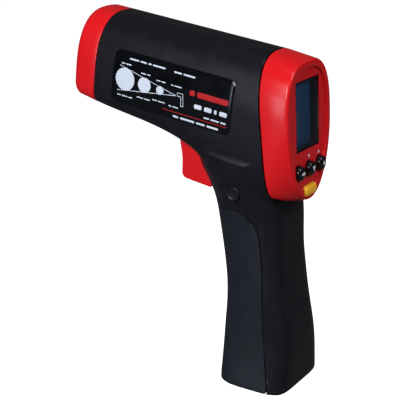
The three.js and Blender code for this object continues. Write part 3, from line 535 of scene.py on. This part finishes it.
def parting_groove():
    """The shallow groove along the barrel's top where the two shells meet."""
    width, depth = 0.8, 0.6
    brim = BARREL_TOP + 0.1
    section = [(-width, brim), (0, BARREL_TOP - depth), (width, brim), (0, BARREL_TOP + 2)]
    return loft("groove", [[(x, y, z) for y, z in section] for x in (BARREL_FRONT_X - 5, 20)])


def housing(side):
    name = "left" if side < 0 else "right"
    solid = duplicate(form, "solid")
    skin = boolean(duplicate(form, "skin"), core, "DIFFERENCE", keep=True)
    if side > 0:
        mirror(solid)
        mirror(skin)
    skin = boolean(skin, barrel_limits("limits"), "INTERSECT")
    low, high = (-40, -HALF_SPLIT) if side < 0 else (HALF_SPLIT, 40)
    frame_box = [(-200, -60), (100, -60), (100, 260), (-200, 260)]
    skin = boolean(skin, prism("half", frame_box, low, high), "INTERSECT")
    skin = boolean(skin, rod("sweep", "Y", (HINGE_X, HINGE_Z), HINGE_SWEEP, -30, 30), "DIFFERENCE")
    made = boolean(copy_of(f"housing_{name}", f"shell_{name}"), skin, "UNION")
    made = boolean(made, solid, "INTERSECT")
    door_way = boolean(door_region("door_way", SEAM_GAP), behind_pin(*HOUSING_CORNER), "DIFFERENCE")
    made = boolean(made, door_way, "DIFFERENCE")
    made = boolean(made, trigger_slot("slot"), "DIFFERENCE")
    made = boolean(made, parting_groove(), "DIFFERENCE")
    button_hole = rod("hole", "Y", (RELEASE_X, RELEASE_Z), RELEASE_RADIUS + KEY_CLEARANCE, -30, 30)
    made = boolean(made, button_hole, "DIFFERENCE")
    if side > 0:
        for x, z, tip in BOSSES:
            head_hole = rod("hole", "Y", (x, z), SCREW_HEAD_RADIUS + 0.4, tip + SCREW_LENGTH - 2.2, 30, 32)
            made = boolean(made, head_hole, "DIFFERENCE")
    return dress(made, f"housing_{name}")


def battery_door():
    solid = boolean(duplicate(form, "solid"), mirror(duplicate(form, "other")), "UNION")
    hollow = boolean(duplicate(core, "hollow"), mirror(duplicate(core, "other")), "UNION")
    skin = boolean(duplicate(solid, "skin"), hollow, "DIFFERENCE")
    skin = boolean(skin, door_region("door_way"), "INTERSECT")
    skin = boolean(skin, behind_pin(*DOOR_CORNER), "DIFFERENCE")
    for y0, y1 in HOUSING_KNUCKLES:
        for low, high in ((y0 - KNUCKLE_OVERLAP, y1 + GAP), (-y1 - GAP, -y0 + KNUCKLE_OVERLAP)):
            knuckle = rod("knuckle", "Y", (HINGE_X, HINGE_Z), HINGE_SWEEP, low, high, 32)
            skin = boolean(skin, knuckle, "DIFFERENCE")
    made = boolean(copy_of("battery_door", "door_shell"), skin, "UNION")
    made = boolean(made, solid, "INTERSECT")
    return dress(made, "battery_door")


housing(-1)
housing(1)
battery_door()
for spare in (form, core):
    bpy.data.objects.remove(spare)


# ---- front cap and optics ----
def barrel_section(bottom, inset=0.0, sides=144):
    turns = np.linspace(0, 2 * math.pi, sides, endpoint=False)
    upper = np.sin(turns) >= 0
    rise = np.where(upper, BARREL_TOP - BARREL_WIDEST_Z, BARREL_WIDEST_Z - bottom) - inset
    exponent = 2 / np.where(upper, BARREL_UPPER_SQUARENESS, BARREL_LOWER_SQUARENESS)
    y = (BARREL_HALF_WIDTH - inset) * power(np.cos(turns), exponent)
    return np.stack([y, BARREL_WIDEST_Z + rise * power(np.sin(turns), exponent)], 1)


def front_cap():
    bottom = float(underside(BARREL_FRONT_X))
    rim_length, rim_inset, rim_rise = 4.5, 3.6, 1.8

    def ring(x, inset=0.0, rise=0.0):
        return [(x, y, z) for y, z in barrel_section(bottom + rise, inset)]

    start = BARREL_FRONT_X - GAP
    rings = [ring(start, 0.35), ring(start - 0.15, 0.08), ring(start - 0.5)]
    run_in = CAP_TIP_X + rim_length - start + 0.5
    rings += [ring(start - 0.5 + t * run_in, 0, 1.4 * t) for t in (0.3, 0.65, 1)]
    for turn in np.radians([12, 25, 38, 51, 64, 77, 90]):
        rings.append(ring(CAP_TIP_X + rim_length * (1 - math.sin(turn)), rim_inset * (1 - math.cos(turn)),
                          1.4 + rim_rise * (1 - math.cos(turn))))
    cap = loft("cap_shell", rings)
    inside = loft("inside", [ring(BARREL_FRONT_X + 5, WALL), ring(CAP_TIP_X + WALL + 0.4, WALL, 3.2)])
    cap = boolean(cap, inside, "DIFFERENCE")
    hole = LENS_RECESS_RADIUS + GAP
    dish = lathe("dish", [(0, -6), (hole + 5.5, -6), (hole + 0.7, -0.1), (hole, 0.6), (hole, 8), (0, 8)], 96)
    aim = Matrix.Rotation(math.pi / 2, 4, "Y")
    cap = boolean(cap, place(dish, Matrix.Translation((CAP_TIP_X, 0, LENS_Z)) @ aim), "DIFFERENCE")
    bore = LASER_RADIUS - 0.5
    funnel_profile = [(0, -6), (bore + 5, -6), (bore + 0.4, -0.1), (bore, 0.4), (bore, 8), (0, 8)]
    funnel = lathe("funnel", funnel_profile, 48)
    cap = boolean(cap, place(funnel, Matrix.Translation((CAP_TIP_X, 0, LASER_Z)) @ aim), "DIFFERENCE")
    return dress(cap, "front_cap")


front_cap()


def optic(name, node, profile, sides=96):
    """A round piece about the optical axis from profile points (radius, distance behind the cap's tip)."""
    made = lathe(name, profile, sides)
    place(made, Matrix.Translation((CAP_TIP_X, 0, LENS_Z)) @ Matrix.Rotation(math.pi / 2, 4, "Y"))
    return dress(made, node, sharp=24)


steps = [(11.2 - 2.6 * t, 1.5 + 7.5 * t) for t in np.linspace(0, 1, 13)]
baffles = []
for (r0, a0), (r1, a1) in zip(steps, steps[1:]):
    baffles += [(r0, a0), (r0, a1 - 0.12), (r1, a1)]  # fine steps that kill stray light
optic("recess_cone", "lens_cone",
      [(11.35, 1.3)] + baffles[1:] + [(8.6, 13.4), (11, 13.4), (14.5, 5), (14.5, 3.2),
      (12.2, 3.2), (12.2, 1.4), (12.05, 1.2), (11.5, 1.2)])
ridges = []
for k in range(14):
    inner, outer = 0.4 + k * 0.52, 0.4 + (k + 1) * 0.52
    dome = lambda r: 9.9 + 1.1 * (r / 8.2) ** 2
    ridges += [(inner, dome(inner)), (outer - 0.06, dome(outer) - 0.05)]
lens_back = [(8.0, 11.0), (8.2, 11.2), (8.2, 12.3), (8.1, 12.4), (0, 12.4)]
optic("lens_body", "ir_lens", [(0, 9.9)] + ridges + lens_back)


# ---- rear bezel ----
def panel_outline(inset=0.0, sides=144):
    turns = np.linspace(0, 2 * math.pi, sides, endpoint=False)
    upper = np.sin(turns) >= 0
    rise = np.where(upper, PANEL_TOP - PANEL_WIDEST, PANEL_WIDEST - PANEL_BOTTOM) - inset
    exponent = np.where(upper, 2 / 2.8, 1.0)
    across = (PANEL_HALF_WIDTH - inset) * power(np.cos(turns), exponent)
    return np.stack([across, PANEL_WIDEST + rise * power(np.sin(turns), exponent)], 1)


def panel_point(across, up, out):
    return tuple(ON_PANEL @ Vector((across, up, out)))


def bezel_solid(name, inset, seam_run, rim):
    """From the rear seam to the face; rim lists (further inset, out) from the widest edge inwards."""
    seam, lead_in = (
        np.array([(seam_x(z) + run, y, z) for y, z in barrel_section(HEAD_BOTTOM_Z, inset + more)])
        for run, more in ((seam_run + 0.5, 0), (seam_run, 0.45))
    )
    rim_rings = [
        np.array([panel_point(a, u, out) for a, u in panel_outline(inset + more)]) for more, out in rim
    ]
    rings = [lead_in]
    for t in np.linspace(0, 1, 16)[:-1]:
        ring = seam * (1 - t) + rim_rings[0] * t
        swell = math.sin(math.pi * t)
        ring[:, 1] *= 1 + 0.015 * swell
        below = np.maximum(BARREL_WIDEST_Z - ring[:, 2], 0)
        ring[:, 2] -= below * 0.025 * swell
        rings.append(ring)
    return loft(name, rings + rim_rings)


def rounded_rect(width, height, radius, corner=8):
    points = []
    for sx, sy, start in ((1, -1, -90), (1, 1, 0), (-1, 1, 90), (-1, -1, 180)):
        cx, cy = sx * (width / 2 - radius), sy * (height / 2 - radius)
        for t in np.radians(start + np.linspace(0, 90, corner + 1)):
            points.append((cx + radius * math.cos(t), cy + radius * math.sin(t)))
    return points


def panel_plug(name, outline, levels):
    """A plug in panel coordinates: the outline scaled and raised through levels (inset, out)."""
    points = np.array(outline)
    middle = points.mean(0)
    span = np.abs(points - middle).max(0)
    rings = []
    for inset, out in levels:
        shrunk = middle + (points - middle) * (1 - inset / span)
        rings.append([panel_point(a, u, out) for a, u in shrunk])
    return loft(name, rings)


def circle(across, up, radius, sides=48):
    turns = np.linspace(0, 2 * math.pi, sides, endpoint=False)
    return [(across + radius * math.cos(t), up + radius * math.sin(t)) for t in turns]


def bean(width, height, up):
    """Outline of the yellow key: round ended, and bent to follow the rim below it."""
    radius = height / 2 - 0.05
    return [(a, u + up + 0.016 * a * a - 0.35) for a, u in rounded_rect(width, height, radius, 14)]


def lip(hole_radius_gain):
    """Levels of a cutter that rounds the rim of a hole it makes from the recessed panel down."""
    top = -RECESS_DEPTH
    return [(0, -12), (0, top - 0.4), (-hole_radius_gain * 0.35, top - 0.1), (-hole_radius_gain, top + 0.05),
            (-hole_radius_gain, 5)]


def rear_bezel():
    quarter = np.radians([0, 15, 30, 45, 60, 75, 90])
    rim = [(RIM_ROUNDING * (1 - math.cos(t)), -RIM_ROUNDING * (1 - math.sin(t))) for t in quarter]
    rim += [(3.9, 0), (4.05, -0.04), (4.15, -0.16), (4.2, -RECESS_DEPTH + 0.1), (4.3, -RECESS_DEPTH)]
    shell = bezel_solid("bezel_shell", 0, SEAM_GAP, rim)
    inside = bezel_solid("inside", WALL, -2, [(0, -3.6), (0.5, -RECESS_DEPTH - WALL)])
    shell = boolean(shell, inside, "DIFFERENCE")
    window = rounded_rect(WINDOW_WIDTH, WINDOW_HEIGHT, 0.8, 6)
    shell = boolean(shell, panel_plug("window", window, lip(0.3)), "DIFFERENCE")
    for k in (-1, 0, 1):
        ring = circle(k * KEY_PITCH, KEY_ROW_U, KEY_RADIUS + KEY_CLEARANCE)
        shell = boolean(shell, panel_plug("hole", ring, lip(0.3)), "DIFFERENCE")
    seat = bean(YELLOW_KEY_WIDTH + 2 * KEY_CLEARANCE, YELLOW_KEY_HEIGHT + 2 * KEY_CLEARANCE, YELLOW_KEY_U)
    shell = boolean(shell, panel_plug("seat", seat, [(0, -12), (0, 6)]), "DIFFERENCE")
    return dress(shell, "rear_bezel")


rear_bezel()


def push_key(name, across):
    top = KEY_PROUD
    profile = [(0, -6.1), (2, -6.1), (2, -4.8), (4.2, -4.8), (4.2, -3.6), (KEY_RADIUS, -3.6),
               (KEY_RADIUS, top - 1.5)]
    for t in np.radians([15, 30, 45, 60, 75]):
        profile.append((KEY_RADIUS - 1.3 * (1 - math.cos(t)), top - 1.5 + 1.3 * math.sin(t)))
    profile += [(KEY_RADIUS * share, top + 0.15 - 0.33 * share**2) for share in (0.55, 0.4, 0.25, 0.1)]
    key = lathe(f"cap_{name}", profile + [(0, top + 0.15)], 72)
    place(key, ON_PANEL @ Matrix.Translation((across, KEY_ROW_U, 0)))
    return dress(key, f"key_{name}", sharp=40)


def yellow_key():
    outline = bean(YELLOW_KEY_WIDTH, YELLOW_KEY_HEIGHT, YELLOW_KEY_U)
    levels = [(0, -4.8), (0, -1.3)]
    levels += [(2 * (1 - math.cos(t)), -1.3 + 2 * math.sin(t)) for t in np.radians([12, 24, 36, 48, 60, 72])]
    levels += [(1.8, 0.74), (2.5, 0.8)]
    key = panel_plug("cap_yellow", outline, levels)
    return dress(key, "key_yellow", sharp=40)


for k, key_name in enumerate(("left", "middle", "right")):
    push_key(key_name, (k - 1) * KEY_PITCH)
yellow_key()


# ---- display ----
def refined(name, node, width, segments=3):
    """A CAD node's own shape with its edges rounded."""
    return dress(soften(copy_of(node, name), width, segments), node)


refined("window_lining", "lcd_frame", 0.18)
refined("window_sheet", "display_window", 0.1, 2)
refined("display_glass", "lcd_panel", 0.15, 2)


# ---- trigger, release buttons and screws ----
def trigger():
    outline = smooth_line(TRIGGER_OUTLINE[:8], per_span=5).tolist() + TRIGGER_OUTLINE[8:]
    blade = prism("blade", outline, -TRIGGER_HALF_WIDTH, TRIGGER_HALF_WIDTH)
    blade = soften(blade, 1.7, 5, 50)
    blade = boolean(blade, rod("hole", "Y", TRIGGER_PIVOT, 1.8, -20, 20), "DIFFERENCE")
    blade = boolean(blade, rod("seat", "X", (0, 108), 2.6, -50.5, -30), "DIFFERENCE")
    blade.name = "trigger_blade"
    return dress(blade, "trigger", sharp=30)


trigger()


def release_button(side):
    name = "left" if side < 0 else "right"
    wall = float(half_width_of(RELEASE_Z))
    r = RELEASE_RADIUS
    profile = [(0, wall - 6.5), (4.7, wall - 6.5), (4.9, wall - 6.3), (4.9, wall - 5.6), (4.7, wall - 5.4),
               (r, wall - 5.4), (r, wall + 0.1), (r - 0.12, wall + 0.4), (r - 0.4, wall + 0.62),
               (r - 0.8, wall + 0.7),
               (r - 1.1, wall + 0.62), (r - 1.3, wall + 0.42), (r - 1.8, wall + 0.36), (1.2, wall + 0.3),
               (0, wall + 0.28)]
    button = lathe(f"button_{name}", profile)
    facing = Matrix.Rotation(side * -math.pi / 2, 4, "X")
    place(button, Matrix.Translation((RELEASE_X, 0, RELEASE_Z)) @ facing)
    return dress(button, f"release_button_{name}", sharp=40)


release_button(-1)
release_button(1)


def cross_head(node, position, facing, length, radius, head, head_height):
    """A screw with a cross recess; position is its tip, facing turns local Z along it."""
    profile = [(0, 0), (radius * 0.4, 0.1), (radius, 0.9), (radius, length - head_height),
               (head, length - head_height),
               (head, length - 0.7), (head * 0.93, length - 0.35), (head * 0.7, length - 0.08), (0, length)]
    screw = lathe(f"cross_{node}", profile, 40)
    arm, width = head * 0.62, head * 0.17
    for sx, sy in ((arm, width), (width, arm)):
        top = [(-sx, -sy), (sx, -sy), (sx, sy), (-sx, sy)]
        rings = [[(x * share, y * share, z) for x, y in top]
                 for share, z in ((0.45, length - 1.1), (1, length - 0.3), (1.02, length + 1))]
        screw = boolean(screw, loft("slot", rings), "DIFFERENCE")
    place(screw, Matrix.Translation(position) @ facing)
    return dress(screw, node, sharp=40)


across_y = Matrix.Rotation(-math.pi / 2, 4, "X")
for k, (x, z, tip) in enumerate(BOSSES):
    cross_head(f"housing_screw_{k + 1}", (x, tip, z), across_y, SCREW_LENGTH, SCREW_RADIUS,
               SCREW_HEAD_RADIUS, 2)


# ---- battery bay ----
refined("battery_body", "battery_9v", 0.5)
refined("snap_body", "battery_snap", 0.4)
refined("pad_body", "door_pad", 0.8)


# ---- labels ----
def side_at(x, z):
    """Half width of the barrel at a point of its side."""
    rise = BARREL_TOP - BARREL_WIDEST_Z if z >= BARREL_WIDEST_Z else BARREL_WIDEST_Z - float(underside(x))
    n = BARREL_UPPER_SQUARENESS if z >= BARREL_WIDEST_Z else BARREL_LOWER_SQUARENESS
    return BARREL_HALF_WIDTH * (1 - min(abs((z - BARREL_WIDEST_Z) / rise), 1) ** n) ** (1 / n)


def patch(name, side, outline, low, high, shares=(1, 0.85, 0.6, 0.3, 0.02), edge=0.0):
    """A thin closed patch on the barrel's side, from outline points (x, z)."""
    points = np.array(outline)
    middle = points.mean(0)
    on_side = lambda share, proud: [
        (x, side * (side_at(x, z) + proud), z) for x, z in middle + (points - middle) * share
    ]
    under = [on_side(share, low) for share in reversed(shares)]
    brow = [on_side(1, high - edge)] if edge else []
    rest = shares[1:] if not edge else shares
    over = brow + [on_side(share * (1 if k or not edge else 0.997), high) for k, share in enumerate(rest)]
    return loft(name, under + over)


def label(side):
    name = "left" if side < 0 else "right"
    outline = [(LABEL_X + a, LABEL_Z + b) for a, b in rounded_rect(LABEL_WIDTH, LABEL_HEIGHT, 3.4, 10)]
    dense = smooth_line(outline, closed=True, per_span=2)
    film = patch(f"film_{name}", side, dense, -0.05, 0.25, np.linspace(1, 0.02, 16), edge=0.08)
    return dress(film, f"label_{name}", sharp=50)


def bar(x0, z0, x1, z1, width):
    """A round-cornered stroke from one point to another."""
    start, end = np.array((x0, z0), float), np.array((x1, z1), float)
    length = np.linalg.norm(end - start)
    along = (end - start) / length
    across = np.array((-along[1], along[0]))
    shape = rounded_rect(length, width, width * 0.3, 3)
    return [tuple((start + end) / 2 + along * a + across * b) for a, b in shape]


def dashes(x0, x1, z, height, lengths, gap):
    """A row of strokes of the given relative lengths that fills x0 to x1."""
    unit = (x1 - x0 - gap * (len(lengths) - 1)) / sum(lengths)
    made, x = [], x0
    for length in lengths:
        made.append(bar(x, z, x + length * unit, z, height))
        x += length * unit + gap
    return made


SPOTS = [(-89.4, 147.9, 5.9), (-77.2, 147.7, 3.95), (-67.5, 147.4, 2.25)]
APEX = (-57.6, 147.1)
WHITE_PRINT = [circle(*spot) for spot in SPOTS]
WHITE_PRINT += [bar(-93.4, 154.6, *APEX, 0.34), bar(-93.9, 141.3, *APEX, 0.34)]
WHITE_PRINT += dashes(-88.0, -66.0, 159.0, 0.8, (3, 2, 1, 4), 1.0)
WHITE_PRINT += dashes(-60.5, -48.0, 158.7, 0.8, (2, 3), 1.0)
WHITE_PRINT += dashes(-92.6, -86.4, 155.9, 0.6, (2, 3), 0.6)
WHITE_PRINT += dashes(-79.9, -74.2, 153.5, 0.6, (3, 2), 0.6)
WHITE_PRINT += dashes(-70.2, -64.6, 152.1, 0.6, (2, 2), 0.6)
WHITE_PRINT += dashes(-61.2, -54.8, 151.9, 0.6, (1, 3), 0.6)
WHITE_PRINT += dashes(-93.6, -84.0, 139.0, 0.6, (2, 3, 2), 0.6)
WHITE_PRINT += dashes(-81.2, -73.0, 140.6, 0.6, (3, 3), 0.6)
WHITE_PRINT += dashes(-71.6, -63.8, 141.6, 0.6, (2, 3), 0.6)
WHITE_PRINT += dashes(-61.4, -55.6, 141.0, 0.6, (1, 2), 0.6)
WHITE_PRINT += [bar(-56.9, 148.9, -53.6, 148.9, 0.3), bar(-56.9, 147.2, -54.6, 147.2, 0.3),
                bar(-53.6, 148.9, -52.9, 142.4, 0.3), bar(-54.6, 147.2, -54.3, 142.4, 0.3),
                bar(-54.3, 142.4, -52.9, 142.4, 0.3), bar(-56.9, 147.2, -56.9, 148.9, 0.3)]
WHITE_PRINT += dashes(-46.4, -27.2, 144.6, 2.3, (3, 3, 1, 3), 1.5)
WHITE_PRINT += dashes(-40.2, -27.2, 140.2, 0.8, (2, 3, 2), 0.8)
WHITE_PRINT += dashes(-58.4, -31.2, 136.3, 1.0, (2, 5, 3, 4), 1.1)
RED_PRINT = dashes(-49.8, -27.2, 150.8, 2.9, (1, 6), 1.4) + [bar(-65.2, 138.5, -26.6, 138.5, 0.34)]


def print_on(side, shapes, ink):
    name = "left" if side < 0 else "right"
    parts = []
    for shape in shapes:
        if side > 0:
            shape = [(2 * LABEL_X - x, z) for x, z in shape]
        parts.append(patch("ink", side, shape, 0.27, 0.31, (1, 0.6, 0.25, 0.02)))
    with bpy.context.temp_override(active_object=parts[0], selected_editable_objects=parts):
        bpy.ops.object.join()
    parts[0].name = f"{ink}_print_{name}"
    return finish_piece(parts[0], "housing", SURFACES[ink])


for side in (-1, 1):
    label(side)
    print_on(side, WHITE_PRINT, "label_white")
    print_on(side, RED_PRINT, "label_red")


# ---- marks on the panel and keys ----
def mark(name, body, outline, out):
    made = panel_plug(name, outline, [(0, out - 0.02), (0, out + 0.03)])
    return finish_piece(made, body, SURFACES["label_white"])


def arrow(across, up, size, way):
    brow = up + way * size * 0.8
    return [(across - size, brow), (across + size, brow), (across, up - way * size)]


mark("mark_middle", "housing", arrow(0.3, -21.3, 1.0, 1), -RECESS_DEPTH)
mark("mark_right", "housing", arrow(11, -21.3, 1.0, -1), -RECESS_DEPTH)
key_top = KEY_PROUD + 0.12
left_icon = [(a - KEY_PITCH, u + KEY_ROW_U) for a, u in rounded_rect(3.4, 1.3, 0.4, 3)]
mark("icon_left", "key_left", left_icon, key_top)
mark("icon_middle", "key_middle", arrow(0, KEY_ROW_U, 1.5, 1), key_top)
mark("icon_right", "key_right", circle(KEY_PITCH, KEY_ROW_U, 1.1, 24), key_top)


# ---- floor, light and camera ----
def stage_floor():
    mesh = bpy.data.meshes.new("floor")
    size = 12
    corners = [(-size, -size, 0), (size, -size, 0), (size, size, 0), (-size, size, 0)]
    mesh.from_pydata(corners, [], [(0, 1, 2, 3)])
    floor = put("floor", mesh)
    white = shader("floor_white", (0.9, 0.9, 0.9), 0.8, shade=0.005, patch_size=400, specular=0.1)
    mesh.materials.append(white)
    white.node_tree.nodes["Principled BSDF"].inputs["Emission Color"].default_value = (1, 1, 1, 1)
    white.node_tree.nodes["Principled BSDF"].inputs["Emission Strength"].default_value = 0.8
    # The floor looks white, but lights the object dimly, as the dark surround of a product picture does.
    tree = white.node_tree
    rays = tree.nodes.new("ShaderNodeLightPath")
    dim = tree.nodes.new("ShaderNodeBsdfDiffuse")
    dim.inputs["Color"].default_value = (0.14, 0.14, 0.15, 1)
    either = tree.nodes.new("ShaderNodeMixShader")
    tree.links.new(rays.outputs["Is Camera Ray"], either.inputs["Fac"])
    tree.links.new(dim.outputs["BSDF"], either.inputs[1])
    tree.links.new(tree.nodes["Principled BSDF"].outputs["BSDF"], either.inputs[2])
    tree.links.new(either.outputs["Shader"], tree.nodes["Material Output"].inputs["Surface"])


def area_light(name, location, target, size, power_w, color=(1, 1, 1)):
    data = bpy.data.lights.new(name, "AREA")
    data.shape = "RECTANGLE"
    data.size, data.size_y = size
    data.energy = power_w
    data.color = color
    light = bpy.data.objects.new(name, data)
    bpy.context.scene.collection.objects.link(light)
    light.location = location
    light.rotation_euler = (Vector(target) - Vector(location)).to_track_quat("-Z", "Y").to_euler()


def studio():
    world = bpy.data.worlds.new("studio")
    bpy.context.scene.world = world
    world.use_nodes = True
    tree = world.node_tree
    background = tree.nodes["Background"]
    background.inputs["Color"].default_value = (1, 1, 1, 1)
    # The backdrop looks white, but gives only a dim light, so that black plastic stays black.
    rays = tree.nodes.new("ShaderNodeLightPath")
    strength = tree.nodes.new("ShaderNodeMapRange")
    strength.inputs["To Min"].default_value = 0.07
    strength.inputs["To Max"].default_value = 1.0
    tree.links.new(rays.outputs["Is Camera Ray"], strength.inputs["Value"])
    tree.links.new(strength.outputs["Result"], background.inputs["Strength"])
    middle = (0, 0, 0.09)
    area_light("key", (0.0, -1.25, 0.8), middle, (0.5, 0.5), 19)
    area_light("sheen", (-0.25, -0.75, 0.18), (0, 0, 0.13), (0.1, 0.3), 1.3, (0.78, 0.87, 1))
    area_light("edge", (0.9, 0.15, 0.85), (0, 0, 0.15), (0.2, 0.45), 6.5)
    area_light("top", (0.1, -0.1, 1.3), middle, (0.3, 0.3), 2)


def photo_camera():
    data = bpy.data.cameras.new("camera")
    data.sensor_width = 36
    data.lens = 99.63
    camera = bpy.data.objects.new("camera", data)
    bpy.context.scene.collection.objects.link(camera)
    right = Vector((0.84249, 0.53871, -0.00067))
    up = Vector((-0.17553, 0.27568, 0.94509))
    back = right.cross(up)
    turn = Matrix((right, up, back)).transposed().to_4x4()
    camera.matrix_world = Matrix.Translation((0.25935, -0.47311, 0.28499)) @ turn
    bpy.context.scene.camera = camera


stage_floor()
studio()
photo_camera()
bpy.context.scene.view_settings.view_transform = "Standard"
